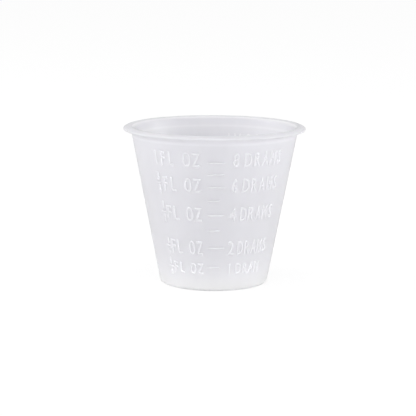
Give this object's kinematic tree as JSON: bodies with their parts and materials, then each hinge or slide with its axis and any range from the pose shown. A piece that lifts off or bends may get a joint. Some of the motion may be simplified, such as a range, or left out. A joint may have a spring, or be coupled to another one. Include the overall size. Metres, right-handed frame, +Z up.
{
  "type": "medicine cup",
  "caption": "Small tapered medicine cup with a turned-over lip, a standing ring and raised dose graduations in drams and millilitres.",
  "frame": {"origin": "middle of the cup's base, in the plane of the standing ring's underside", "axes": "+Z up the cup's axis to the mouth, -Y the side with the dram scale, +X to the right seen from that side"},
  "size_m": [0.0474, 0.0474, 0.0412],
  "materials": {
    "cup": "frosted natural polypropylene, slightly translucent, as moulded"
  },
  "bodies": {
    "root": {"cup": "cup"}
  },
  "joints": []
}
